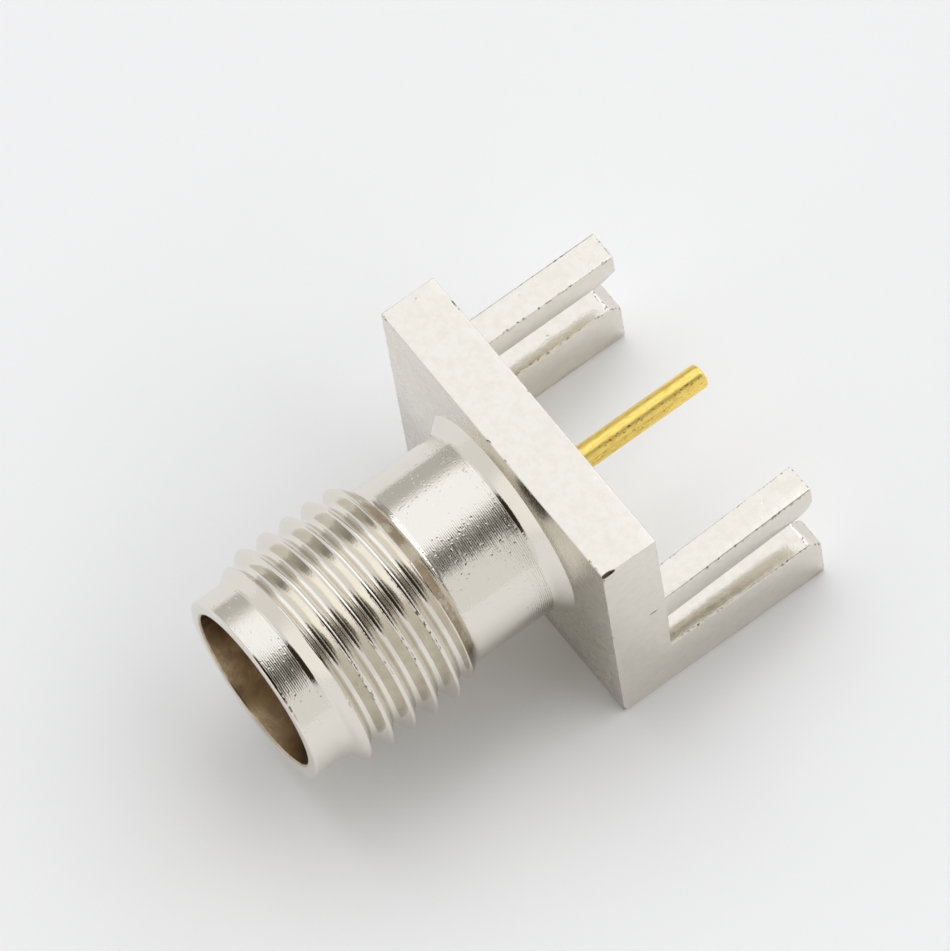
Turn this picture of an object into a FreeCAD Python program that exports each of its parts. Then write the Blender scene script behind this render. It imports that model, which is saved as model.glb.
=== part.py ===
import FreeCAD, Part
import math
import os

# Coaxial socket connector for the edge of a circuit board, in millimetres.
# The barrel's axis is the Y axis and its open nose points to -Y.
# The origin is where that axis meets the flange's rear face, the face that the board's edge
# butts against. The legs and the solder tail reach out from there to +Y, and +Z is up.
# A "station" below is a distance ahead of that rear face, towards the nose.

Vector = FreeCAD.Vector
ORIGIN = Vector(0, 0, 0)
AXIS = Vector(0, 1, 0)

# Flange: a slice of rectangular bar
flange_width = 9.52
flange_height = 8.20
flange_thickness = 1.68
bar_edge_break = 0.06

# Legs: what is left of the same bar behind the flange
leg_length = 4.79
leg_width = 0.88
upper_leg_top = 0.56            # above the barrel's axis
slot_top = -0.50                # underside of the upper legs, below the axis
slot_height = 1.65              # takes a 1.6 mm board
upper_lead_in_length = 0.50     # slope under the upper left leg's tip
upper_lead_in_rise = 0.22
lower_lead_in_length = 0.38     # slope on top of a lower leg's tip
lower_lead_in_fall = 0.335
bent_leg_tip_round = 0.50       # under the upper right leg's tip
bent_leg_angle = 1.8            # degrees, the upper right leg leans inwards

# Barrel, from the flange to the nose
root_cone_radius = 3.06         # where the neck flares into the flange
root_cone_length = 0.38
neck_radius = 2.71
neck_length = 2.85              # flange face to the thread, the cone included
thread_length = 4.13            # both end chamfers included
thread_rear_chamfer = 0.61      # along the axis
thread_front_chamfer = 0.44
nose_radius = 2.715
nose_length = 0.99
nose_edge_break = 0.06

# Coupling thread, right-handed, 36 turns to the inch
thread_major_radius = 3.16
thread_pitch = 25.4 / 36
thread_depth = 0.366
thread_crest_flat = 0.11
thread_flank_angle = 60.0       # between the two flanks
thread_start_angle = 74.0       # where the groove starts, from +X towards +Z

# Bore that takes the plug, and the passage behind it
bore_radius = 2.32
bore_depth = 1.90               # nose face to the insulator's face
bore_edge_break = 0.05
passage_radius = 2.05

# Centre contact: a slotted socket in front, a solder tail behind
contact_radius = 0.635
contact_recess = 0.10           # socket's mouth behind the insulator's face
socket_radius = 0.47
socket_depth = 2.90
socket_drill_angle = 118.0
socket_edge_break = 0.05
slit_width = 0.15
slit_length = 2.20
slit_cuts = 2                   # two crossed cuts leave four spring fingers
barb_station = 2.60             # rear end of the barb that grips the insulator
barb_length = 0.50
barb_height = 0.16
tail_radius = 0.35
tail_length = 4.69
tail_edge_round = 0.12

# Insulator: a plain rod, stepped down at its rear end where the contact seats
seat_thickness = 0.50
seat_hole_radius = 0.52

# Worked out from the sizes above
barrel_length = neck_length + thread_length + nose_length
nose_station = flange_thickness + barrel_length
insulator_station = nose_station - bore_depth
slot_bottom = slot_top - slot_height
half_width = flange_width / 2
half_height = flange_height / 2
past = 1.0                      # how far a cutting tool runs past what it cuts


def turned(outline):
    """Solid of revolution about the barrel's axis from (radius, station) corners."""
    corners = [Vector(radius, -station, 0) for radius, station in outline]
    face = Part.Face(Part.makePolygon(corners + corners[:1]))
    return face.revolve(ORIGIN, AXIS, 360)


def block(x_low, x_high, y_low, y_high, z_low, z_high):
    """Box between two opposite corners."""
    corner = Vector(x_low, y_low, z_low)
    return Part.makeBox(x_high - x_low, y_high - y_low, z_high - z_low, corner)


def bar_stock():
    """The rectangular bar that the flange and the legs are milled from."""
    bar = block(-half_width, half_width, -flange_thickness, leg_length, -half_height, half_height)
    return bar.makeChamfer(bar_edge_break, bar.Edges)


def board_slot_cutter():
    """Saw cut across the legs for the board, opening out at the tips to guide it in."""
    side = [
        (0, slot_bottom),
        (leg_length - lower_lead_in_length, slot_bottom),
        (leg_length, slot_bottom - lower_lead_in_fall),
        (leg_length + past, slot_bottom - lower_lead_in_fall),
        (leg_length + past, slot_top + upper_lead_in_rise),
        (leg_length, slot_top + upper_lead_in_rise),
        (leg_length - upper_lead_in_length, slot_top),
        (0, slot_top),
    ]
    corners = [Vector(-half_width - past, y, z) for y, z in side]
    face = Part.Face(Part.makePolygon(corners + corners[:1]))
    return face.extrude(Vector(flange_width + 2 * past, 0, 0))


def bent_leg():
    """The upper right leg, rounded under its tip and turned inwards about its outer root edge."""
    leg = block(half_width - leg_width, half_width, 0, leg_length, slot_top, upper_leg_top)
    middle = (slot_top + upper_leg_top) / 2
    tip_edges = [
        edge for edge in leg.Edges
        if edge.BoundBox.YMin > leg_length / 2 and edge.BoundBox.ZMax < middle
    ]
    leg = leg.makeFillet(bent_leg_tip_round, tip_edges).common(bar_stock())
    leg.rotate(Vector(half_width, 0, 0), Vector(0, 0, 1), bent_leg_angle)
    return leg


def flange_and_legs():
    """Flange with its four legs, milled out of the bar."""
    inner = half_width - leg_width
    side = half_width + past
    far = leg_length + past
    channel = block(-inner, inner, 0, far, -half_height - past, half_height + past)
    above = block(-side, side, 0, far, upper_leg_top, half_height + past)
    bent_leg_place = block(0, side, 0, far, slot_top, upper_leg_top)
    milled = bar_stock().cut([channel, above, bent_leg_place, board_slot_cutter()])
    return milled.fuse(bent_leg())


def barrel_blank():
    """The turned barrel before its thread is cut, reaching back into the flange."""
    neck = flange_thickness
    thread_rear = neck + neck_length
    thread_front = thread_rear + thread_length
    return turned([
        (0, 0),
        (root_cone_radius, 0),
        (root_cone_radius, neck),
        (neck_radius, neck + root_cone_length),
        (neck_radius, thread_rear),
        (thread_major_radius, thread_rear + thread_rear_chamfer),
        (thread_major_radius, thread_front - thread_front_chamfer),
        (nose_radius, thread_front),
        (nose_radius, nose_station - nose_edge_break),
        (nose_radius - nose_edge_break, nose_station),
        (0, nose_station),
    ])


def thread_groove():
    """Solid of the helical groove between the thread's crests.

    Its section is swept one turn after another up the Z axis, and the groove is then laid down
    along the barrel. It starts a turn behind the thread and ends past its front, where the neck
    and the nose are too slim to be cut. Its flanks run on past the crest radius by half of what
    would let one turn meet the next.
    """
    slope = math.tan(math.radians(thread_flank_angle / 2))
    half_mouth = (thread_pitch - thread_crest_flat) / 2
    half_root = half_mouth - thread_depth * slope
    beyond_crest = thread_crest_flat / 4
    section = [
        (thread_major_radius - thread_depth, -half_root),
        (thread_major_radius + beyond_crest / slope, -half_mouth - beyond_crest),
        (thread_major_radius + beyond_crest / slope, half_mouth + beyond_crest),
        (thread_major_radius - thread_depth, half_root),
    ]
    corners = [Vector(radius, 0, height) for radius, height in section]
    profile = Part.makePolygon(corners + corners[:1])
    path = []
    for turn in range(math.ceil(thread_length / thread_pitch) + 2):
        helix = Part.makeHelix(thread_pitch, thread_pitch, thread_major_radius)
        helix.translate(Vector(0, 0, turn * thread_pitch))
        path.extend(helix.Edges)
    groove = Part.Wire(path).makePipeShell([profile], True, True)
    start = flange_thickness + neck_length - thread_pitch
    groove.rotate(ORIGIN, Vector(0, 0, 1), thread_start_angle)
    groove.translate(Vector(0, 0, start))
    groove.rotate(ORIGIN, Vector(1, 0, 0), 90)
    return groove


def bore_and_passage():
    """Everything that is hollow in the body: the plug's bore and the insulator's passage."""
    mouth_radius = bore_radius + bore_edge_break
    return turned([
        (0, -past),
        (passage_radius, -past),
        (passage_radius, insulator_station),
        (bore_radius, insulator_station),
        (bore_radius, nose_station - bore_edge_break),
        (mouth_radius, nose_station),
        (mouth_radius, nose_station + past),
        (0, nose_station + past),
    ])


def connector_body():
    """The one machined piece: legs, flange, neck, threaded barrel and nose."""
    barrel = barrel_blank().cut(thread_groove())
    whole = flange_and_legs().fuse(barrel)
    return whole.cut(bore_and_passage()).removeSplitter()


def contact_outline():
    """Outer form of the contact's round part inside the insulator, with nothing cut into it."""
    return turned([
        (0, 0),
        (seat_hole_radius, 0),
        (seat_hole_radius, seat_thickness),
        (contact_radius, seat_thickness),
        (contact_radius, barb_station),
        (contact_radius + barb_height, barb_station + barb_length),
        (contact_radius, barb_station + barb_length),
        (contact_radius, insulator_station - contact_recess),
        (0, insulator_station - contact_recess),
    ])


def socket_cutter():
    """Blind drilled hole with a broken edge, and the crossed slits that free its fingers."""
    mouth = insulator_station - contact_recess
    floor = mouth - socket_depth
    point = socket_radius / math.tan(math.radians(socket_drill_angle / 2))
    wide = socket_radius + socket_edge_break
    hole = turned([
        (0, floor - point),
        (socket_radius, floor),
        (socket_radius, mouth - socket_edge_break),
        (wide, mouth),
        (wide, mouth + past),
        (0, mouth + past),
    ])
    reach = contact_radius + barb_height + past
    half_slit = slit_width / 2
    slit = block(-reach, reach, -mouth - past, -mouth + slit_length, -half_slit, half_slit)
    slits = []
    for number in range(slit_cuts):
        turned_slit = slit.copy()
        turned_slit.rotate(ORIGIN, AXIS, 45 + 180 * number / slit_cuts)
        slits.append(turned_slit)
    return [hole] + slits


def solder_tail():
    """Straight round tail with a rounded end, from the rear face outwards."""
    tail = Part.makeCylinder(tail_radius, tail_length, ORIGIN, AXIS)
    end = [edge for edge in tail.Edges if edge.BoundBox.YMin > tail_length / 2]
    return tail.makeFillet(tail_edge_round, end)


def centre_contact():
    """Socket, barb and solder tail in one turned piece."""
    return contact_outline().cut(socket_cutter()).fuse(solder_tail()).removeSplitter()


def insulator():
    """Rod that fills the passage, closed tightly round the contact."""
    rod = turned([
        (0, 0),
        (passage_radius, 0),
        (passage_radius, insulator_station),
        (0, insulator_station),
    ])
    hole = turned([
        (0, insulator_station - contact_recess),
        (contact_radius, insulator_station - contact_recess),
        (contact_radius, insulator_station + past),
        (0, insulator_station + past),
    ])
    return rod.cut([contact_outline(), hole])


def main():
    os.makedirs("parts", exist_ok=True)
    pieces = {
        "connector_body": connector_body(),
        "insulator": insulator(),
        "centre_contact": centre_contact(),
    }
    for name, shape in pieces.items():
        shape.exportStep(os.path.join("parts", name + ".step"))
        print(name, "solids", len(shape.Solids), "valid", shape.isValid(),
              "volume", round(shape.Volume, 3), "box", shape.BoundBox)


main()
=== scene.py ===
# %% [markdown]
# This lesson dresses a small coaxial connector, the kind that is soldered to the edge of a circuit
# board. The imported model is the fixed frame: it says where everything is, and nothing in it is
# moved. Its curved faces are made of few facets, so each piece gets a finer mesh of its own here.

# %% Load the frame
import math

import bmesh
import bpy
from mathutils import Matrix, Quaternion, Vector


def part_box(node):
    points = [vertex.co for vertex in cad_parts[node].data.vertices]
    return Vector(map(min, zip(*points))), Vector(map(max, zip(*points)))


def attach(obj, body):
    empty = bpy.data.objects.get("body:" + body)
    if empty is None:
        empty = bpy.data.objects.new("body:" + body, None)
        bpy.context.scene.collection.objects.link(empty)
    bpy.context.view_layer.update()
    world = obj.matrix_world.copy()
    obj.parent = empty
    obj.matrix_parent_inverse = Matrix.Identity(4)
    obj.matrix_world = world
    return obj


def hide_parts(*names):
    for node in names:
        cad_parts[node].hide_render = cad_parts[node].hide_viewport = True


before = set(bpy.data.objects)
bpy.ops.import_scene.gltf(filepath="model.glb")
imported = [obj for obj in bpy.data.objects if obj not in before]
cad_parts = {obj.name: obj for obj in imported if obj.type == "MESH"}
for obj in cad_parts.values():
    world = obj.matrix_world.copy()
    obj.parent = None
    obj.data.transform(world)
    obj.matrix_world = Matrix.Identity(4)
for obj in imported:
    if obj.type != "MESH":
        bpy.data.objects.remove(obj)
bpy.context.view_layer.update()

MM = 0.001

# %% [markdown]
# The barrel's axis is the Y axis. The origin lies on it, in the flange's rear face, where the
# board's edge butts. It is handy to measure along the barrel by a "station", the distance ahead of
# that face, because every turned form is then a list of (radius, station) corners.

# %% Main sizes
body_low, body_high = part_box("connector_body")
nose_station = -body_low.y
leg_length = body_high.y
half_width = body_high.x
half_height = body_high.z
flange_thickness = 1.68 * MM
print("nose station, mm:", round(nose_station / MM, 3))
print("leg length, mm:", round(leg_length / MM, 3))

# %% [markdown]
# The photograph was taken with a long lens from high up, so lines that are parallel on the part
# stay almost parallel in the picture. The camera's place, its aim and its roll were found by laying
# the part's straight edges and circles over the picture until they agreed. The camera could be
# given a rotation matrix, but an aim point and a roll are easier to read and to correct.

# %% Camera
camera_place = Vector((133.03, -70.29, 314.36)) * MM
camera_aim = Vector((-1.334, -1.602, 0.0)) * MM
camera_roll = math.radians(-10.43)
focal_length_px = 13581
picture_height_px = 951
sensor_mm = 36

camera_data = bpy.data.cameras.new("camera")
camera_data.sensor_width = sensor_mm
camera_data.lens = focal_length_px * sensor_mm / picture_height_px
camera_data.clip_start = 0.01
camera_data.clip_end = 10
camera = bpy.data.objects.new("camera", camera_data)
bpy.context.scene.collection.objects.link(camera)
camera.location = camera_place
looking = (camera_aim - camera_place).to_track_quat("-Z", "Y")
camera.rotation_mode = "QUATERNION"
camera.rotation_quaternion = looking @ Quaternion((0, 0, 1), camera_roll)
bpy.context.scene.camera = camera
print("lens, mm:", round(camera_data.lens, 1))

# %% [markdown]
# On the real part the thread is cut with a formed tool, which leaves a V with a narrow flat on the
# crest and a round root. A Screw modifier could wind one turn's outline into a thread. Here the
# outline of all turns is drawn as one chain of corners, its corners are rounded by a vertex bevel,
# and the chain is spun about the axis while it creeps forward by one pitch. After a full turn the
# chain meets its own next turn, and merging the doubles closes the screw surface, so there is
# nothing to sew up.

# %% Thread: sizes
thread_pitch = 25.4 / 36 * MM
crest_radius = 3.16 * MM
thread_depth = 0.40 * MM
root_radius = crest_radius - thread_depth
crest_half_flat = 0.041 * MM
crest_rounding = 0.039 * MM
root_rounding = 0.068 * MM
flank_slope = math.tan(math.radians(30))
root_half_flat = thread_pitch / 2 - crest_half_flat - thread_depth * flank_slope
thread_rear = flange_thickness + 2.85 * MM
thread_length = 4.19 * MM
thread_front = thread_rear + thread_length
crest_station = flange_thickness + 3.057 * MM
spin_steps = 192
rounding_segments = 4
flank_cuts = 7

turns = math.ceil(thread_length / thread_pitch) + 2
first_root = crest_station - thread_pitch / 2
while first_root + thread_pitch > thread_rear:
    first_root -= thread_pitch
print("turns:", turns, "first root station, mm:", round(first_root / MM, 3))

# %% Thread: one chain of corners, rounded
AXIS = Vector((0, -1, 0))


def chain(bm, corners):
    """Join (radius, station) corners by edges, in the half plane on the +X side of the axis."""
    verts = [bm.verts.new((radius, -station, 0)) for radius, station in corners]
    edges = [bm.edges.new(pair) for pair in zip(verts, verts[1:])]
    return verts, edges


def radius_of(vert):
    """Distance of a vertex from the barrel's axis."""
    return math.hypot(vert.co.x, vert.co.z)


barrel = bmesh.new()
corners = [(root_radius, first_root)]
for turn in range(turns):
    root = first_root + turn * thread_pitch
    crest = root + thread_pitch / 2
    corners.append((root_radius, root + root_half_flat))
    corners.append((crest_radius, crest - crest_half_flat))
    corners.append((crest_radius, crest + crest_half_flat))
    corners.append((root_radius, root + thread_pitch - root_half_flat))
corners.append((root_radius, first_root + turns * thread_pitch))
verts = chain(barrel, corners)[0]
crest_verts = [vert for vert in verts if radius_of(vert) > crest_radius - thread_depth / 2]
root_verts = [vert for vert in verts[1:-1] if vert not in crest_verts]
for chosen, rounding in ((crest_verts, crest_rounding), (root_verts, root_rounding)):
    bmesh.ops.bevel(
        barrel, geom=chosen, offset=rounding, segments=rounding_segments, profile=0.5,
        affect="VERTICES", material=-1,
    )
long_edges = [edge for edge in barrel.edges if edge.calc_length() > thread_depth / 2]
bmesh.ops.subdivide_edges(barrel, edges=long_edges, cuts=flank_cuts)
print("points in the chain:", len(barrel.verts))

# %% Thread: the chain spun into a screw surface
merge_distance = 0.00005 * MM
bmesh.ops.spin(
    barrel, geom=barrel.verts[:] + barrel.edges[:], cent=(0, 0, 0), axis=AXIS,
    dvec=AXIS * thread_pitch / spin_steps, angle=2 * math.pi, steps=spin_steps, use_merge=False,
)
bmesh.ops.remove_doubles(barrel, verts=barrel.verts, dist=merge_distance)
print("screw surface faces:", len(barrel.faces))

# %% [markdown]
# The blank that the thread was cut into is plain turning: a neck, two chamfers and a nose. Its
# outline is a list of corners, each with the rounding that the lathe tool's own tip left there. The
# rounding could be bevelled onto the finished mesh, but in the outline each corner keeps its own.
# The fillets at the neck's foot and behind the nose matter for the looks, because a hollow corner
# gathers the reflections of half the room into one thin dark line.

# %% Barrel: sizes of the neck, the nose and the bore
neck_radius = 2.71 * MM
nose_radius = 2.715 * MM
rear_chamfer = 0.61 * MM
front_chamfer = 0.50 * MM
root_cone_radius = 3.06 * MM
root_cone_length = 0.38 * MM
foot_rounding = 0.22 * MM
corner_blend = 0.10 * MM
edge_wear = 0.06 * MM
relief_rounding = 0.24 * MM
rim_rounding = 0.06 * MM
bore_rounding = 0.05 * MM
bore_radius = 2.32 * MM
bore_depth = 1.90 * MM
passage_radius = 2.05 * MM
insulator_station = nose_station - bore_depth
print("neck, mm across:", round(2 * neck_radius / MM, 2))
print("bore, mm across:", round(2 * bore_radius / MM, 2))

# %% Barrel: rounded outlines


def rounded_outline(corners, steps=5):
    """Turn (radius, station, rounding) corners into a list of points with an arc at each corner."""
    points = []
    for number, (radius, station, rounding) in enumerate(corners):
        corner = Vector((radius, station))
        if rounding == 0:
            points.append(corner)
            continue
        back = (Vector(corners[number - 1][:2]) - corner).normalized()
        onward = (Vector(corners[number + 1][:2]) - corner).normalized()
        half_angle = back.angle(onward) / 2
        centre = corner + (back + onward).normalized() * rounding / math.sin(half_angle)
        first = corner + back * rounding / math.tan(half_angle) - centre
        last = corner + onward * rounding / math.tan(half_angle) - centre
        # slerp swings a direction of length 1 from the first end to the last
        points += [centre + rounding * first.slerp(last, step / steps) for step in range(steps + 1)]
    return [tuple(point) for point in points]


strip_rear = thread_rear - corner_blend
neck_outline = rounded_outline([
    (neck_radius, strip_rear, 0),
    (neck_radius, flange_thickness + root_cone_length, foot_rounding),
    (root_cone_radius, flange_thickness, 0),
])
nose_outline = rounded_outline([
    (crest_radius, thread_front - front_chamfer, 0),
    (nose_radius, thread_front, relief_rounding),
    (nose_radius, nose_station, rim_rounding),
    (bore_radius, nose_station, bore_rounding),
    (bore_radius, insulator_station, 0),
    (passage_radius, insulator_station, 0),
    (passage_radius, flange_thickness, 0),
])
strip_front = nose_outline[1][1]
fillet_reach = thread_front - strip_front
print("the nose fillet starts behind the thread's end by, mm:", round(fillet_reach / MM, 3))

# %% [markdown]
# A real thread fades in and out on the two chamfers that were turned before it was cut. A Boolean
# with a cone could do that, but it would leave long thin faces that shade badly. So the screw
# surface is first cut off square at both ends. Then each edge that crosses a chamfer's cone is
# split where it crosses, the new points are joined, and what stands outside the cone is pushed
# back onto it. Wear has rounded these edges a little, so the smaller radius is taken with a soft
# corner. A small fillet lies where the rear chamfer meets the neck. Five cuts, a third of its reach
# apart, give it points to bend at.

# %% Thread: square ends


def cut_by_plane(bm, place, normal, **cleared):
    """Cut a whole bmesh by a plane; clear_inner or clear_outer also takes one side away."""
    bmesh.ops.bisect_plane(
        bm, geom=bm.verts[:] + bm.edges[:] + bm.faces[:], dist=merge_distance,
        plane_co=place, plane_no=normal, **cleared,
    )


cut_by_plane(barrel, AXIS * strip_rear, AXIS, clear_inner=True)
cut_by_plane(barrel, AXIS * strip_front, AXIS, clear_outer=True)
for third in range(-2, 3):
    cut_by_plane(barrel, AXIS * (thread_rear + third / 3 * corner_blend), AXIS)
print("faces between the two ends:", len(barrel.faces))

# %% Thread: the chamfer cones


def soft_min(first, second, blend):
    """The smaller of two numbers, rounded off where they are nearly equal."""
    near = max(blend - abs(first - second), 0) / blend
    return min(first, second) - near * near * blend / 4


def chamfer_radius(station):
    """Radius of the two chamfer cones at a station, whichever is smaller."""
    rear_slope = (crest_radius - neck_radius) / rear_chamfer
    front_slope = (crest_radius - nose_radius) / front_chamfer
    rear = neck_radius + (station - thread_rear) * rear_slope
    rear = -soft_min(-rear, -neck_radius, corner_blend * rear_slope)
    front = nose_radius + (thread_front - station) * front_slope
    return min(rear, front)


print("radius at the thread's rear end, mm:", round(chamfer_radius(thread_rear) / MM, 3))

# %% Thread: chamfers at both ends


def outside(vert):
    """How far a vertex stands outside the chamfers; negative inside."""
    return radius_of(vert) - chamfer_radius(-vert.co.y)


def set_radius(vert, radius):
    """Move a vertex straight out from the barrel's axis, or in towards it."""
    scale = radius / radius_of(vert)
    vert.co.x *= scale
    vert.co.z *= scale


crossings = []
for edge in barrel.edges[:]:
    near, far = edge.verts
    a, b = outside(near), outside(far)
    if min(abs(a), abs(b)) > merge_distance and a * b < 0:
        crossings.append(bmesh.utils.edge_split(edge, near, a / (a - b))[1])
bmesh.ops.connect_verts(barrel, verts=crossings)
for vert in barrel.verts:
    set_radius(vert, soft_min(radius_of(vert), chamfer_radius(-vert.co.y), edge_wear))
print("points on the chamfer edges:", len(crossings))

# %% [markdown]
# The rest of the barrel grows out of the thread's two end rings. The neck and the nose could be
# pieces of their own, but then a seam would show in the reflections. So a ring is extruded from
# point to point of the outline, and each new ring is set to its radius and station. Where the
# groove still runs out into the nose's fillet, a ring keeps its lower points. The two last rings
# meet at the flange and are bridged, which closes the mesh.

# %% Barrel: neck, nose and bore
station_tolerance = 10 * merge_distance


def lies_at(vert, station):
    """Whether a vertex lies at a station."""
    return abs(-vert.co.y - station) < station_tolerance


def ring_at(bm, station):
    """The open edges that lie at one station."""
    return [
        edge for edge in bm.edges
        if edge.is_boundary and all(lies_at(vert, station) for vert in edge.verts)
    ]


def extend(bm, ring, outline):
    """Extrude a ring of edges through a list of (radius, station) points."""
    for radius, station in outline:
        grown = bmesh.ops.extrude_edge_only(bm, edges=ring)["geom"]
        ring = [item for item in grown if isinstance(item, bmesh.types.BMEdge)]
        for vert in {vert for edge in ring for vert in edge.verts}:
            in_fillet = station > strip_front and radius > nose_radius
            set_radius(vert, min(radius, radius_of(vert)) if in_fillet else radius)
            vert.co.y = -station
    return ring


rear_ring = extend(barrel, ring_at(barrel, strip_rear), neck_outline[1:])
front_ring = extend(barrel, ring_at(barrel, strip_front), nose_outline[2:])
bmesh.ops.bridge_loops(barrel, edges=rear_ring + front_ring)
print("barrel faces:", len(barrel.faces))

# %% [markdown]
# Every piece is finished the same way: doubles are merged, normals are made to point outwards, all
# faces are smooth, and edges sharper than a chosen angle are marked sharp so that turned corners
# stay crisp. Smooth shading alone would smear the light over a square corner.

# %% Barrel: from bmesh to object
sharp_angle = math.radians(28)


def finish_mesh(bm, name):
    """Turn a finished bmesh into an object at the origin and return it."""
    bmesh.ops.remove_doubles(bm, verts=bm.verts, dist=merge_distance)
    bmesh.ops.recalc_face_normals(bm, faces=bm.faces)
    for face in bm.faces:
        face.smooth = True
    mesh = bpy.data.meshes.new(name)
    open_edges = sum(1 for edge in bm.edges if not edge.is_manifold)
    bm.to_mesh(mesh)
    bm.free()
    mesh.set_sharp_from_angle(angle=sharp_angle)
    piece = bpy.data.objects.new(name, mesh)
    bpy.context.scene.collection.objects.link(piece)
    print(name, "faces:", len(mesh.polygons), "open edges:", open_edges)
    return piece


barrel_skin = finish_mesh(barrel, "barrel_skin")

# %% [markdown]
# The flange and the legs are milled from one rectangular bar, so the sides of the legs run on
# smoothly from the sides of the flange. Boxes could be joined to make them, but joined boxes leave
# seams. So a block is cut along the lines of the milled slots, without parting it. That leaves one
# small face for each leg on the block's rear, and each of them is pulled out to the leg's length
# in two steps, so that the last step can be sloped. The upper right leg is bent inwards and rounded
# under its tip, as on the photographed part.

# %% Flange and legs: a block with the legs pulled out
leg_width = 0.88 * MM
upper_leg_top = 0.56 * MM
slot_top = -0.50 * MM
slot_bottom = slot_top - 1.65 * MM
inner = half_width - leg_width

flange = bmesh.new()
block = Matrix.Translation((0, -flange_thickness / 2, 0)) @ Matrix.Diagonal(
    (2 * half_width, flange_thickness, 2 * half_height, 1)
)
bmesh.ops.create_cube(flange, size=1, matrix=block)
cut_lines = [
    ((inner, 0, 0), (1, 0, 0)),
    ((-inner, 0, 0), (1, 0, 0)),
    ((0, 0, upper_leg_top), (0, 0, 1)),
    ((0, 0, slot_top), (0, 0, 1)),
    ((0, 0, slot_bottom), (0, 0, 1)),
]
for place, normal in cut_lines:
    cut_by_plane(flange, place, normal)


def is_leg_foot(face):
    """Whether a face of the cut block is the place where a leg starts."""
    middle = face.calc_center_median()
    in_leg_rows = slot_top < middle.z < upper_leg_top or middle.z < slot_bottom
    return abs(middle.y) < merge_distance and abs(middle.x) > inner and in_leg_rows


feet = [face for face in flange.faces if is_leg_foot(face)]
print("leg feet:", len(feet))

# %% Flange and legs: sloped tips
upper_lead_in = (0.50 * MM, 0.22 * MM)
lower_lead_in = (0.38 * MM, -0.335 * MM)


def pull_out(bm, face, length):
    """Extrude one face straight back to a given length and return the new end face."""
    end = bmesh.ops.extrude_discrete_faces(bm, faces=[face])["faces"][0]
    for vert in end.verts:
        vert.co.y = length
    return end


tip_edges = []
for foot in feet:
    middle = foot.calc_center_median()
    is_upper = middle.z > slot_bottom
    is_bent = is_upper and middle.x > 0
    run, shift = upper_lead_in if is_upper else lower_lead_in
    if is_bent:
        tip = pull_out(flange, foot, leg_length)
        lowest = min(vert.co.z for vert in tip.verts)
        tip_edges += [
            edge for edge in tip.edges
            if all(abs(vert.co.z - lowest) < merge_distance for vert in edge.verts)
        ]
    else:
        tip = pull_out(flange, pull_out(flange, foot, leg_length - run), leg_length)
        slot_side = slot_top if is_upper else slot_bottom
        for vert in tip.verts:
            if abs(vert.co.z - slot_side) < merge_distance:
                vert.co.z += shift
print("edges to round under the bent leg's tip:", len(tip_edges))

# %% Flange and legs: the bent leg
bent_leg_tip_round = 0.50 * MM
bent_leg_angle = math.radians(1.8)
bmesh.ops.bevel(
    flange, geom=tip_edges, offset=bent_leg_tip_round, segments=8, profile=0.5,
    affect="EDGES", material=-1,
)
bent = [
    vert for vert in flange.verts
    if vert.co.y > merge_distance and vert.co.x > 0 and vert.co.z > slot_top - merge_distance
]
bmesh.ops.rotate(
    flange, verts=bent, cent=(half_width, 0, 0), matrix=Matrix.Rotation(bent_leg_angle, 3, "Z")
)
print("vertices in the bent leg:", len(bent))

# %% [markdown]
# Plating and tumbling take the sharpness off every outer edge. A Bevel modifier could do it, but it
# would also round the inner corners, where a cutter ran into the flange and which stay sharp. So
# the lines that were only needed for the cuts are dissolved, and a narrow bevel goes on the outer
# edges alone. Its faces are marked, so that the finish can put nicks there and nowhere else.

# %% Flange and legs: broken edges
edge_break = 0.05 * MM
flat_angle = math.radians(0.2)
corner_angle = math.radians(20)
edge_mark = flange.faces.layers.float.new("edge")
bmesh.ops.dissolve_limit(
    flange, angle_limit=flat_angle, verts=flange.verts, edges=flange.edges,
    use_dissolve_boundaries=False,
)
bmesh.ops.recalc_face_normals(flange, faces=flange.faces)
outer_edges = [
    edge for edge in flange.edges if edge.is_convex and edge.calc_face_angle(0) > corner_angle
]
broken = bmesh.ops.bevel(
    flange, geom=outer_edges, offset=edge_break, segments=3, profile=0.5, affect="EDGES",
    material=-1, clamp_overlap=True,
)
for face in broken["faces"]:
    face[edge_mark] = 1.0
print("faces marked as broken edge:", len(broken["faces"]))
flange_skin = finish_mesh(flange, "flange_skin")

# %% [markdown]
# The passage for the insulator is drilled through the flange. A ring of faces could be cut out by
# hand, but a turned cutter and a Boolean modifier do what the drill did. The result is made into
# the piece's own mesh at once, so that the cutter can be deleted.

# %% Flange and legs: drill the passage
cutter_bm = bmesh.new()
verts, edges = chain(cutter_bm, [(passage_radius, -MM), (passage_radius, 2 * flange_thickness)])
bmesh.ops.spin(
    cutter_bm, geom=verts + edges, cent=(0, 0, 0), axis=AXIS, angle=2 * math.pi,
    steps=spin_steps, use_merge=True,
)
bmesh.ops.holes_fill(cutter_bm, edges=cutter_bm.edges)
cutter = finish_mesh(cutter_bm, "passage_cutter")


def apply_boolean(piece, tool, operation):
    """Cut or join with a tool, keep the result as the piece's mesh and delete the tool."""
    modifier = piece.modifiers.new("cut", "BOOLEAN")
    modifier.object = tool
    modifier.operation = operation
    modifier.solver = "EXACT"
    graph = bpy.context.evaluated_depsgraph_get()
    result = bpy.data.meshes.new_from_object(piece.evaluated_get(graph))
    piece.modifiers.clear()
    piece.data = result
    bpy.data.objects.remove(tool)
    print(piece.name, "after the cut, faces:", len(result.polygons))


apply_boolean(flange_skin, cutter, "DIFFERENCE")

# %% [markdown]
# The photographed part took a knock on its top right corner. Paint alone would look flat there, so
# a small egg-shaped tool cuts the same shallow dent. Its place and size are kept in millimetres,
# because the finish darkens the dent.

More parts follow.
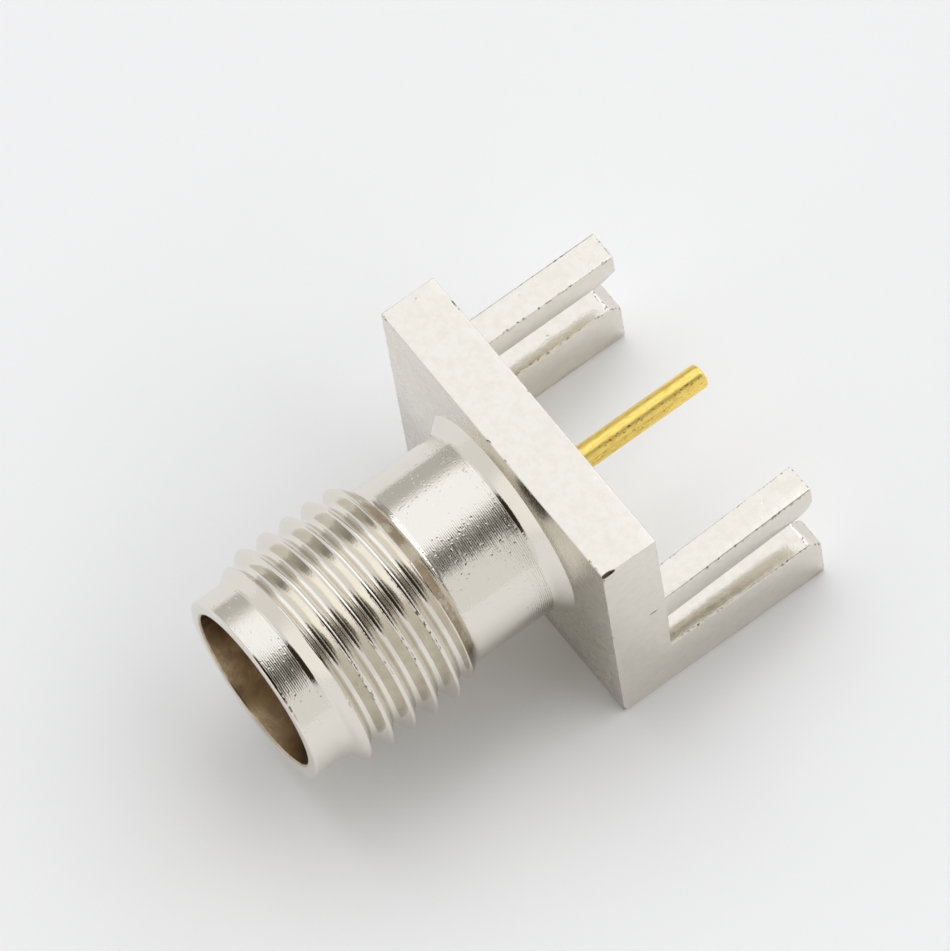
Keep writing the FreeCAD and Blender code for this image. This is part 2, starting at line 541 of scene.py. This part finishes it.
# %% Flange and legs: the dent at the corner
dent_place = (half_width / MM, 0.15 - flange_thickness / MM, half_height / MM - 0.02)
dent_size = (0.075, 0.19, 0.05)
dent_bm = bmesh.new()
dent_shape = Matrix.Translation(Vector(dent_place) * MM) @ Matrix.Diagonal(
    (dent_size[0] * MM, dent_size[1] * MM, dent_size[2] * MM, 1)
)
bmesh.ops.create_icosphere(dent_bm, subdivisions=3, radius=1, matrix=dent_shape)
apply_boolean(flange_skin, finish_mesh(dent_bm, "dent_tool"), "DIFFERENCE")
flange_skin.data.set_sharp_from_angle(angle=sharp_angle)

# %% [markdown]
# The insulator is a plain rod of white fluoropolymer, pressed in from the rear. Only its two ends
# can be seen, down the bore and in the middle of the flange's rear face. A cylinder with a hole cut
# into it would do, but spinning an outline once round the axis gives the rod, its wide bore and its
# narrow rear seat in one go.

# %% Insulator
contact_radius = 0.635 * MM
contact_recess = 0.10 * MM
seat_hole_radius = 0.52 * MM
seat_thickness = 0.50 * MM
contact_mouth = insulator_station - contact_recess


def turned(name, outline, steps):
    """Spin a list of (radius, station) corners once round the axis into a closed piece."""
    bm = bmesh.new()
    verts, edges = chain(bm, outline)
    bmesh.ops.spin(
        bm, geom=verts + edges, cent=(0, 0, 0), axis=AXIS, angle=2 * math.pi, steps=steps,
        use_merge=True,
    )
    return finish_mesh(bm, name)


insulator_skin = turned("insulator_skin", [
    (seat_hole_radius, 0),
    (passage_radius, 0),
    (passage_radius, insulator_station),
    (contact_radius, insulator_station),
    (contact_radius, seat_thickness),
    (seat_hole_radius, seat_thickness),
    (seat_hole_radius, 0),
], spin_steps)

# %% [markdown]
# The centre contact is one turned piece. Behind the flange it is the gold solder pin that the
# photograph shows. In front it is a socket, slit into four spring fingers, deep in the bore. It is
# spun from its outline too, socket hole included, and two crossed saw cuts part the fingers.

# %% Centre contact
tail_radius = 0.35 * MM
tail_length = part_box("centre_contact")[1].y
tail_rounding = 0.12 * MM
socket_radius = 0.47 * MM
socket_depth = 2.90 * MM
drill_half_angle = math.radians(59)
socket_point = socket_radius / math.tan(drill_half_angle)
socket_break = 0.05 * MM
contact_steps = 96
on_axis = 0.0
socket_floor = contact_mouth - socket_depth

contact_skin = turned("contact_skin", rounded_outline([
    (on_axis, -tail_length, 0),
    (tail_radius, -tail_length, tail_rounding),
    (tail_radius, 0, 0),
    (seat_hole_radius, 0, 0),
    (seat_hole_radius, seat_thickness, 0),
    (contact_radius, seat_thickness, 0),
    (contact_radius, contact_mouth, 0),
    (socket_radius + socket_break, contact_mouth, 0),
    (socket_radius, contact_mouth - socket_break, 0),
    (socket_radius, socket_floor, 0),
    (on_axis, socket_floor - socket_point, 0),
]), contact_steps)

# %% Centre contact: slits between the spring fingers
slit_width = 0.15 * MM
slit_length = 2.20 * MM
for number in range(2):
    slit_bm = bmesh.new()
    slit_place = Matrix.Rotation(math.radians(45 + 90 * number), 4, "Y") @ Matrix.Translation(
        (0, -contact_mouth, 0)
    )
    slit_size = Matrix.Diagonal((4 * contact_radius, 2 * slit_length, slit_width, 1))
    bmesh.ops.create_cube(slit_bm, size=1, matrix=slit_place @ slit_size)
    apply_boolean(contact_skin, finish_mesh(slit_bm, f"slit_{number}"), "DIFFERENCE")
contact_skin.data.set_sharp_from_angle(angle=sharp_angle)

# %% [markdown]
# The finer pieces now take the place of the imported ones. Each rides on the part's one body and
# hides the node that it stands for.

# %% Fit the pieces to the frame
for piece, node, slot_name in (
    (barrel_skin, "connector_body", "nickel_plate"),
    (flange_skin, "connector_body", "nickel_plate"),
    (insulator_skin, "insulator", "ptfe"),
    (contact_skin, "centre_contact", "gold_plate"),
):
    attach(piece, "root")
    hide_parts(node)
    print(piece.name, "stands for", node)

# %% [markdown]
# All finishes are made of nodes. They could be wired by hand in the Shader Editor, but a few short
# helpers keep them readable as text. Patterns read the piece's own Object coordinates, turned into
# millimetres, so that every size below can be compared with a real one.

# %% Materials: one node at a time


def add_node(tree, kind, inputs=None, output=0, **settings):
    """Add a node, set or link its inputs, and return one of its outputs."""
    node = tree.nodes.new(kind)
    for name, value in settings.items():
        setattr(node, name, value)
    for key, value in (inputs or {}).items():
        if isinstance(value, bpy.types.NodeSocket):
            tree.links.new(value, node.inputs[key])
        else:
            node.inputs[key].default_value = value
    return node.outputs[output]


def calc(tree, operation, first, *others):
    """Math on one value, or on the first value and each of the others in turn."""
    if not others:
        return add_node(tree, "ShaderNodeMath", {0: first}, operation=operation)
    for other in others:
        first = add_node(tree, "ShaderNodeMath", {0: first, 1: other}, operation=operation)
    return first


def times(tree, *values):
    """The product of some values."""
    return calc(tree, "MULTIPLY", *values)


def plus(tree, *values):
    """The sum of some values."""
    return calc(tree, "ADD", *values)


def split_vector(tree, vector):
    """The x, y and z of a vector."""
    split = tree.nodes.new("ShaderNodeSeparateXYZ")
    tree.links.new(vector, split.inputs[0])
    return split.outputs


# %% Materials: masks, noise and colour


def ramp(tree, value, start, end, low=0.0, high=1.0):
    """Go smoothly from low to high while the value goes from start to end."""
    inputs = {"Value": value, "From Min": start, "From Max": end, "To Min": low, "To Max": high}
    return add_node(tree, "ShaderNodeMapRange", inputs, interpolation_type="SMOOTHSTEP")


def band(tree, value, start, full, fading, end):
    """1 where the value lies between full and fading, 0 before start and after end."""
    return times(tree, ramp(tree, value, start, full), ramp(tree, value, end, fading))


def noise(tree, place, size, stretch=(1, 1, 1), detail=2.0):
    """Noise about 0.5 with grains of a size in mm, made longer along an axis by stretch."""
    scale = tuple(1 / (size * factor) for factor in stretch)
    shaped = add_node(tree, "ShaderNodeVectorMath", {0: place, 1: scale}, operation="MULTIPLY")
    inputs = {"Vector": shaped, "Scale": 1.0, "Detail": detail, "Roughness": 0.55}
    return add_node(tree, "ShaderNodeTexNoise", inputs)


def mix(tree, factor, below, above):
    """Lay one colour over another, fully where the factor is 1."""
    inputs = {"Factor": factor, "A": below, "B": above}
    for key in ("A", "B"):
        if isinstance(inputs[key], tuple):
            inputs[key] = (*inputs[key], 1)
    return add_node(tree, "ShaderNodeMix", inputs, data_type="RGBA", output=2)


# %% Materials: start a finish and put it on a piece


def start_finish(name, colour, metallic, roughness):
    """Start a material and return it with its tree, its shader and the place in mm."""
    material = bpy.data.materials.new(name)
    material.use_nodes = True
    tree = material.node_tree
    shader = tree.nodes["Principled BSDF"]
    shader.inputs["Base Color"].default_value = (*colour, 1)
    shader.inputs["Metallic"].default_value = metallic
    shader.inputs["Roughness"].default_value = roughness
    own = tree.nodes.new("ShaderNodeTexCoord").outputs["Object"]
    place = add_node(tree, "ShaderNodeVectorMath", {0: own, "Scale": 1 / MM}, operation="SCALE")
    return material, tree, shader, place


def dress(piece, material):
    """Give a piece one material."""
    piece.data.materials.clear()
    piece.data.materials.append(material)
    node_count = len(material.node_tree.nodes)
    print(piece.name, "is dressed in", material.name, "with", node_count, "nodes")


# %% [markdown]
# Bright nickel covers all turned faces, but each place looks different. The places could be painted
# on an unwrapped image. Here they are found from the coordinates: the distance from the axis tells
# the neck from the thread, its crests from its groove, and the bore from the outside. Each place
# becomes a mask, a soft value from 0 to 1, and the patterns below are multiplied by it.

# %% Turned nickel: which place is which
nickel_colour = (0.80, 0.765, 0.692)
# radii in mm, for a band: where it starts, is full, begins to fade and ends
turning_radii = (2.60, 2.70, 2.725, 2.745)
groove_radii = (2.73, 2.78, 2.88, 3.02)
# radii in mm, for a ramp: where it starts and where it is full
crest_radii = (3.08, 3.13)
bore_radii = (2.42, 2.35)
material, tree, shader, place = start_finish("nickel_turned", nickel_colour, 1.0, 0.1)
x_mm, y_mm, z_mm = split_vector(tree, place)
radius_mm = calc(tree, "SQRT", plus(tree, times(tree, x_mm, x_mm), times(tree, z_mm, z_mm)))
on_turning = band(tree, radius_mm, *turning_radii)
in_groove = band(tree, radius_mm, *groove_radii)
on_crest = ramp(tree, radius_mm, *crest_radii)
in_bore = ramp(tree, radius_mm, *bore_radii)
print("nodes for the places:", len(tree.nodes))

# %% [markdown]
# On a lathe the tool leaves a fine ring for every turn, and these rings break up the reflections on
# the neck and the nose. They could be modelled, but a sine of the station does it as relief and
# needs no more faces. Noise lets the rings wander, and a noise that is stretched far round the
# barrel makes each one different. They are fainter on the neck. The thread has none, because its
# flanks were cut by a formed tool.

# %% Turned nickel: rings left by the lathe
ring_pitch = 0.056
ring_wander = 5.0
ring_height = 1.3
uneven_height = 3.0
neck_strength = 0.7
wander = times(tree, noise(tree, place, 0.35), ring_wander)
phase = plus(tree, times(tree, y_mm, 2 * math.pi / ring_pitch), wander)
even = times(tree, calc(tree, "SINE", phase), ring_height)
uneven = times(tree, noise(tree, place, 0.03, stretch=(60, 1, 60)), uneven_height)
strength = times(tree, on_turning, ramp(tree, y_mm, -5.0, -8.0, neck_strength, 1.0))
rings = times(tree, plus(tree, even, uneven), strength)
print("rings along the neck:", round((thread_rear - flange_thickness) / MM / ring_pitch))

# %% [markdown]
# Under a lens the plating has a grain of a few hundredths of a millimetre, raised specks, and pits
# where the metal below was open. The thread's crests carry small burrs. All of them are heights in
# micrometres, because plating and tool marks are that small, so they can be added up. One Bump node
# turns the sum into relief. Displaced faces would need millions of points for the same look.

# %% Turned nickel: grain, specks, pits and burrs
MICRON = 0.001 * MM
grain_height = 2.6
speck_height = 5.0
pit_depth = 7.0
burr_height = 2.5


def pits(tree, place, spacing, radius, share):
    """Round pits: 1 in the middle of a pit and 0 outside, in a share of the cells."""
    cells = tree.nodes.new("ShaderNodeTexVoronoi")
    tree.links.new(place, cells.inputs["Vector"])
    cells.inputs["Scale"].default_value = 1 / spacing
    chosen = add_node(tree, "ShaderNodeSeparateColor", {"Color": cells.outputs["Color"]})
    shape = ramp(tree, cells.outputs["Distance"], radius / spacing, 0.0)
    return times(tree, shape, calc(tree, "GREATER_THAN", chosen, 1 - share))


def add_relief(tree, shader, height):
    """Turn heights in micrometres into bumps."""
    inputs = {"Height": height, "Distance": MICRON, "Strength": 1.0}
    relief = add_node(tree, "ShaderNodeBump", inputs)
    tree.links.new(relief, shader.inputs["Normal"])


grain = times(tree, noise(tree, place, 0.07), grain_height)
specks = times(tree, pits(tree, place, 0.12, 0.045, 0.45), speck_height)
holes = times(tree, pits(tree, place, 0.17, 0.05, 0.45), -pit_depth)
spots = times(tree, plus(tree, specks, holes), on_turning)
burrs = times(
    tree, noise(tree, place, 0.06, stretch=(2, 1, 2), detail=3.0), on_crest, burr_height
)
add_relief(tree, shader, plus(tree, rings, grain, spots, burrs))
print("nodes with the relief:", len(tree.nodes))

# %% [markdown]
# The bore is stained brown in patches. The side of the groove that faces back gets painted shade: a
# darker, warmer tone that deepens lower down. Both are only colour, so they need no relief. One
# noise decides how strongly a place is stained, and a Mix node lays the stain over the nickel. The
# direction of a face, its own Normal, tells one side of the groove from the other.

# %% Turned nickel: stained bore and painted shade in the groove
bore_colour = (0.61, 0.50, 0.36)
stain_colour = (0.48, 0.395, 0.29)
upper_flank_shade_colour = (0.77, 0.725, 0.65)
lower_flank_shade_colour = (0.60, 0.55, 0.465)
flank_radii = (2.73, 2.78, 3.0, 3.1)
leaning = split_vector(tree, add_node(tree, "ShaderNodeTexCoord", output="Normal"))[1]
stained = ramp(tree, noise(tree, place, 0.35, detail=4.0), 0.42, 0.62)
# painted shade: the flanks that face back are darker and warmer, and more so towards the bottom
painted_flank_shade_mask = times(
    tree,
    ramp(tree, leaning, 0.1, 0.5),
    band(tree, radius_mm, *flank_radii),
    ramp(tree, noise(tree, place, 0.5, detail=4.0), 0.3, 0.7, 0.5, 1.0),
)
painted_flank_shade_tone = mix(tree, ramp(tree, z_mm, 2.5, 1.2), upper_flank_shade_colour, lower_flank_shade_colour)
colour = mix(tree, in_bore, nickel_colour, mix(tree, stained, bore_colour, stain_colour))
colour = mix(tree, painted_flank_shade_mask, colour, painted_flank_shade_tone)
print("nodes with the stained bore and groove:", len(tree.nodes))

# %% [markdown]
# The rear chamfer, where the thread starts behind its first full turn, carries a brown stain in
# patches, with one place that was rubbed nearly clean. The stain lies in a band of stations. The
# clean place is a band across the part, and noise is added to its x so that its edge is ragged.

# %% Turned nickel: stain on the rear chamfer
chamfer_stain_colour = (0.42, 0.352, 0.262)
chamfer_y = (-5.05, -4.90, -4.72, -4.64)
worn_x = (0.40, 0.75, 1.0, 1.35)
left_when_worn = 0.3
ragged_x = plus(tree, x_mm, times(tree, noise(tree, place, 0.25), 0.5))
chamfer_stain = times(
    tree,
    band(tree, y_mm, *chamfer_y),
    ramp(tree, leaning, 0.35, 0.5),
    ramp(tree, noise(tree, place, 0.45, detail=4.0), 0.30, 0.52, 0.25, 1.0),
    ramp(tree, band(tree, ragged_x, *worn_x), 0.0, 1.0, 1.0, left_when_worn),
)
colour = mix(tree, chamfer_stain, colour, chamfer_stain_colour)
print("nodes with the stained chamfer:", len(tree.nodes))

# %% [markdown]
# On the upper right, the burrs on the crests and on the rim have dark brown edges. They could be
# modelled, but they are thinner than a hair, so broken dark lines in the colour are enough. Each
# line is a product of masks: a narrow band of radii or stations, the upper right side, and noise
# that breaks the line up.

# %% Turned nickel: dark edges of burrs
burr_colour = (0.11, 0.068, 0.03)
crest_line_strength = 0.9
rim_line_reach = (0.020, 0.040, 0.070, 0.090)
rim_line_x = (0.2, 0.5, 1.7, 2.2)
crest_line = times(
    tree,
    ramp(tree, radius_mm, 3.06, 3.12),
    ramp(tree, leaning, 0.0, -0.2),
    ramp(tree, noise(tree, place, 0.055, stretch=(2, 1, 2), detail=4.0), 0.52, 0.60),
    ramp(tree, noise(tree, place, 0.8), 0.36, 0.50),
    ramp(tree, x_mm, 0.4, 1.0),
    ramp(tree, z_mm, 1.0, 1.9),
    crest_line_strength,
)
rim_line = times(
    tree,
    band(tree, y_mm, *(reach - nose_station / MM for reach in rim_line_reach)),
    ramp(tree, radius_mm, 2.6, 2.64),
    band(tree, x_mm, *rim_line_x),
    ramp(tree, z_mm, 0.0, 0.5),
    ramp(tree, noise(tree, place, 0.12, detail=3.0), 0.40, 0.50),
)
colour = mix(tree, calc(tree, "MAXIMUM", rim_line, crest_line), colour, burr_colour)
tree.links.new(colour, shader.inputs["Base Color"])
print("nodes with the dark edges:", len(tree.nodes))

# %% [markdown]
# Last comes the gloss. Bright plating is nearly a mirror, but not evenly so, and a stained bore is
# duller. One number would look like glass, so a noise lets the roughness drift a little.

# %% Turned nickel: gloss
groove_blur = 0.02
bore_blur = 0.10
blur = plus(
    tree,
    ramp(tree, noise(tree, place, 0.5), 0.3, 0.7, 0.08, 0.14),
    times(tree, in_groove, groove_blur),
    times(tree, in_bore, bore_blur),
)
tree.links.new(blur, shader.inputs["Roughness"])
dress(barrel_skin, material)

# %% [markdown]
# The flange and the legs are milled from bar and then tumbled. Their broken edges carry dark nicks,
# and there is the dent at the corner and a short scratch on the right side. A brush could paint
# them, but the edge faces were marked in the mesh when they were bevelled, so an Attribute node
# knows where nicks may be. Most edges have few of them, and the legs have more.

# %% Milled nickel: nicks, dent and scratch
scratch_place = (half_width / MM, -0.40, 0.32)
scratch_size = (0.1, 0.14, 0.03)
dent_margin = 1.4
leg_share = 0.7


def spot(tree, place, centre, size):
    """1 in the middle of an ellipsoid, given by its centre and half axes in mm, and 0 outside."""
    offset = add_node(tree, "ShaderNodeVectorMath", {0: place, 1: centre}, operation="SUBTRACT")
    scaled = add_node(tree, "ShaderNodeVectorMath", {0: offset, 1: size}, operation="DIVIDE")
    length = add_node(tree, "ShaderNodeVectorMath", {0: scaled}, output=1, operation="LENGTH")
    return ramp(tree, length, 1.0, 0.75)


material, tree, shader, place = start_finish("nickel_milled", nickel_colour, 1.0, 0.2)
y_mm = split_vector(tree, place)[1]
edge = add_node(tree, "ShaderNodeAttribute", output="Fac", attribute_name="edge")
rare = ramp(tree, noise(tree, place, 0.9), 0.54, 0.62)
rare = calc(tree, "MAXIMUM", rare, ramp(tree, y_mm, 0.2, 0.6, 0.0, leg_share))
nicks = times(tree, ramp(tree, noise(tree, place, 0.09, detail=3.0), 0.56, 0.62), edge, rare)
dent = spot(tree, place, dent_place, tuple(dent_margin * size for size in dent_size))
scratch = spot(tree, place, scratch_place, scratch_size)
nicks = calc(tree, "MAXIMUM", nicks, dent, scratch)
print("nodes for nicks, dent and scratch:", len(tree.nodes))

# %% [markdown]
# Under the nicks, the milled plating has a coarser grain than the turned one, slow waves from the
# tumbling, faint saw marks across the sides and a few pits. It is relief again, in micrometres.

# %% Milled nickel: relief
nick_depth = 6.0
milled_grain_height = 3.0
wave_height = 8.0
mark_height = 1.6
milled_pit_depth = 9.0
add_relief(tree, shader, plus(
    tree,
    times(tree, nicks, -nick_depth),
    times(tree, noise(tree, place, 0.055, detail=3.0), milled_grain_height),
    times(tree, noise(tree, place, 0.4), wave_height),
    times(tree, noise(tree, place, 0.06, stretch=(1, 1, 14)), mark_height),
    times(tree, pits(tree, place, 0.35, 0.05, 0.25), -milled_pit_depth),
))
print("nodes with the relief:", len(tree.nodes))

# %% [markdown]
# Tumbled nickel is mottled: bright in one place, dull in the next. The front face, which the lathe
# faced off after the barrel was turned, is rougher than the sides. Two Mix nodes make the colour,
# and the face is found by its station alone.

# %% Milled nickel: colour and gloss
nick_colour = (0.12, 0.08, 0.045)
dull_colour = (0.765, 0.722, 0.64)
front_face = -flange_thickness / MM
front_blur = 0.10
dull = ramp(tree, noise(tree, place, 0.22, detail=5.0), 0.35, 0.70)
colour = mix(tree, nicks, mix(tree, dull, nickel_colour, dull_colour), nick_colour)
tree.links.new(colour, shader.inputs["Base Color"])
blur = plus(
    tree,
    ramp(tree, noise(tree, place, 0.4), 0.3, 0.7, 0.11, 0.19),
    ramp(tree, y_mm, front_face + 0.02, front_face, 0.0, front_blur),
)
tree.links.new(blur, shader.inputs["Roughness"])
dress(flange_skin, material)

# %% [markdown]
# The pin was cut from drawn wire and gold plated. Drawing leaves fine lines along the wire. An
# image of lines would have to be wrapped round the pin, but noise that is stretched lengthwise has
# no seam.

# %% Gold: drawn lines and grain
gold_colour = (1.0, 0.76, 0.21)
line_height = 2.0
gold_grain_height = 2.0
gold_pit_depth = 4.0
material, tree, shader, place = start_finish("gold", gold_colour, 1.0, 0.31)
lines = times(tree, noise(tree, place, 0.06, stretch=(1, 30, 1)), line_height)
grain = times(tree, noise(tree, place, 0.06), gold_grain_height)
holes = times(tree, pits(tree, place, 0.09, 0.03, 0.5), -gold_pit_depth)
add_relief(tree, shader, plus(tree, lines, grain, holes))
print("nodes with the relief:", len(tree.nodes))

# %% [markdown]
# The gold is deeper in short streaks along the pin, and dark specks sit along two scores on its
# upper side. The scores are two very long ellipsoids that just reach the surface, and a noise picks
# the specks out of them.

# %% Gold: streaks and specks
deep_gold_colour = (0.90, 0.60, 0.15)
speck_colour = (0.35, 0.17, 0.03)
side_score_strength = 0.6
deep = ramp(tree, noise(tree, place, 0.05, stretch=(1, 5, 1), detail=3.0), 0.48, 0.66)
top_score = spot(tree, place, (0.17, 2.5, 0.31), (0.07, 4.0, 0.07))
side_score = spot(tree, place, (0.31, 2.5, 0.16), (0.09, 3.0, 0.09))
scored = plus(tree, top_score, times(tree, side_score, side_score_strength))
speckled = ramp(tree, noise(tree, place, 0.05, stretch=(1, 2, 1), detail=3.0), 0.58, 0.66)
colour = mix(tree, deep, gold_colour, deep_gold_colour)
colour = mix(tree, times(tree, scored, speckled), colour, speck_colour)
tree.links.new(colour, shader.inputs["Base Color"])
dress(contact_skin, material)

# %% [markdown]
# The insulator is white fluoropolymer, which looks waxy: light goes in a little way and comes out
# again. Plain white paint would look like plaster, and a little subsurface scattering makes it wax.
# Its cut face is faintly uneven.

# %% Fluoropolymer
ptfe_colour = (0.90, 0.90, 0.87)
scatter_share = 0.3
scatter_depth = 0.3 * MM
scatter_by_colour = (1.0, 0.93, 0.83)
cut_face_height = 3.0
material, tree, shader, place = start_finish("ptfe", ptfe_colour, 0.0, 0.4)
shader.inputs["Subsurface Weight"].default_value = scatter_share
shader.inputs["Subsurface Radius"].default_value = scatter_by_colour
shader.inputs["Subsurface Scale"].default_value = scatter_depth
add_relief(tree, shader, times(tree, noise(tree, place, 0.08), cut_face_height))
blur = ramp(tree, noise(tree, place, 0.5), 0.3, 0.7, 0.35, 0.5)
tree.links.new(blur, shader.inputs["Roughness"])
dress(insulator_skin, material)

# %% [markdown]
# A mirror-like part shows its studio more than itself, so the lights are placed by what its curved
# faces reflect in the photograph. On the neck one can read them off: a bright soft box high on the
# left, pale walls, a half-dark patch and beside it a dark gap, which the camera looks through and
# which runs on towards the front. The gap gives the hollow corners and the thread's roots their
# black lenses. Cards and area lamps could make the same room, but they bring noise. So all of it is
# painted on the sky as soft round patches. Each patch is placed by an angle round the barrel's
# axis, from +X over +Z, and by its share along +Y.

# %% Studio: sky with soft patches
studio_light = (0.81, 0.806, 0.80)
gap_colour = (0.03, 0.022, 0.012)
sky_patches = [
    # degrees round the axis, share along +Y, full within and gone beyond (degrees), brightness
    (110, 0.72, 22, 44, (1.45, 1.48, 1.55)),
    (172, 0.52, 16, 27, (0.30, 0.29, 0.28)),
    (168, 0.15, 10, 24, (0.54, 0.54, 0.52)),
    (115, 0.15, 18, 34, (1.11, 1.13, 1.165)),
    (68, -0.98, 12, 28, (1.02, 1.00, 0.985)),
    (63, 0.49, 11, 19, (0.20, 0.188, 0.165)),
    (63.5, -0.225, 15, 27, gap_colour),
    (62, -0.45, 21, 31, gap_colour),
    (62, -0.66, 17, 27, gap_colour),
]
world = bpy.data.worlds.new("studio")
world.use_nodes = True
tree = world.node_tree
direction = tree.nodes.new("ShaderNodeTexCoord").outputs["Generated"]
sky = studio_light
for degrees, share, full, gone, brightness in sky_patches:
    angle = math.radians(degrees)
    across = math.sqrt(1 - share * share)
    towards = (across * math.cos(angle), share, across * math.sin(angle))
    near = add_node(
        tree, "ShaderNodeVectorMath", {0: direction, 1: towards}, output=1, operation="DOT_PRODUCT"
    )
    weight = ramp(tree, near, math.cos(math.radians(gone)), math.cos(math.radians(full)))
    sky = mix(tree, weight, sky, brightness)
tree.links.new(sky, tree.nodes["Background"].inputs["Color"])
bpy.context.scene.world = world
bpy.context.scene.view_settings.view_transform = "Standard"
print("patches in the sky:", len(sky_patches))

# %% [markdown]
# The part stands on a plain pale sheet, level with the lowest point of its flange. A curved
# backdrop would do, but the long lens sees only the sheet close by, so one flat square is enough.
# It belongs to the studio and not to the part.

# %% Studio: floor
floor_half_size = 2
floor_colour = (0.90, 0.90, 0.90)
floor_roughness = 0.9
floor_shine = 0.1
floor_bm = bmesh.new()
floor_place = Matrix.Translation((0, 0, body_low.z))
bmesh.ops.create_grid(
    floor_bm, x_segments=1, y_segments=1, size=floor_half_size, matrix=floor_place
)
floor_mesh = bpy.data.meshes.new("floor")
floor_bm.to_mesh(floor_mesh)
floor_bm.free()
floor = bpy.data.objects.new("floor", floor_mesh)
bpy.context.scene.collection.objects.link(floor)
floor_material = bpy.data.materials.new("floor")
floor_material.use_nodes = True
floor_shader = floor_material.node_tree.nodes["Principled BSDF"]
floor_shader.inputs["Base Color"].default_value = (*floor_colour, 1)
floor_shader.inputs["Roughness"].default_value = floor_roughness
floor_shader.inputs["Specular IOR Level"].default_value = floor_shine
floor_mesh.materials.append(floor_material)
print("floor at z, mm:", round(body_low.z / MM, 3))

# %% [markdown]
# Two large soft lamps lift the sheet: one hangs where the bright box is in the sky, the other
# behind the part on its right, so that the flange keeps the sheet in front of it in shade. Area
# lamps would do, but a sun lamp with a wide angle is just as soft and lights the sheet evenly. The
# metal must not mirror them, since the sky already holds what it mirrors, so both are hidden from
# mirror rays.

# %% Studio: soft lamps
lamp_softness = math.radians(40)
for name, energy, towards in (
    ("lamp_left", 0.42, (-0.40, 0.12, 0.90)),
    ("lamp_behind", 0.50, (0.42, 0.50, 0.75)),
):
    lamp_data = bpy.data.lights.new(name, "SUN")
    lamp_data.energy = energy
    lamp_data.angle = lamp_softness
    lamp = bpy.data.objects.new(name, lamp_data)
    bpy.context.scene.collection.objects.link(lamp)
    lamp.rotation_mode = "QUATERNION"
    lamp.rotation_quaternion = Vector(towards).to_track_quat("Z", "Y")
    lamp.visible_glossy = False
    print(name, "strength:", energy)
